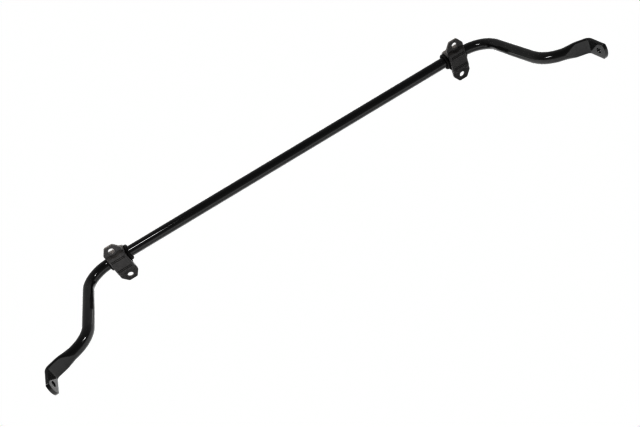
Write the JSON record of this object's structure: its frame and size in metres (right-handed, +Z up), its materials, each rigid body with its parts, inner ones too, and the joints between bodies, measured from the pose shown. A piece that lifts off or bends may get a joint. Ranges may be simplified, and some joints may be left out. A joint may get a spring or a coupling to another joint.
{
  "type": "sway bar",
  "caption": "Bent tubular sway bar with pressed flat link eyes, held by rubber bushes in pressed steel clamp brackets.",
  "frame": {"origin": "midway between the four bracket bolt holes, on the plane the bracket ears seat on", "axes": "+X along the bar to the right-hand end, -Y the way both arms reach and the ears' seating faces look, +Z up"},
  "size_m": [1.0972, 0.2762, 0.091],
  "materials": {
    "bar_paint": "gloss black paint over steel tube",
    "bracket_coat": "satin dark grey electro-coat over pressed steel",
    "bush_rubber": "matt black moulded rubber"
  },
  "bodies": {
    "bar": {"bar": "bar_paint"},
    "left_bracket": {"left_front_plate": "bracket_coat", "left_rear_saddle": "bracket_coat", "left_bush_front": "bush_rubber", "left_bush_rear": "bush_rubber"},
    "right_bracket": {"right_front_plate": "bracket_coat", "right_rear_saddle": "bracket_coat", "right_bush_front": "bush_rubber", "right_bush_rear": "bush_rubber"}
  },
  "joints": [
    {"name": "left_bracket_swivel", "type": "hinge", "parent": "bar", "child": "left_bracket", "pos_m": [-0.385, 0.0186, 0], "axis": [1, 0, 0], "range_deg": [-30, 30]},
    {"name": "right_bracket_swivel", "type": "hinge", "parent": "bar", "child": "right_bracket", "pos_m": [0.385, 0.0186, 0], "axis": [1, 0, 0], "range_deg": [-30, 30]}
  ]
}
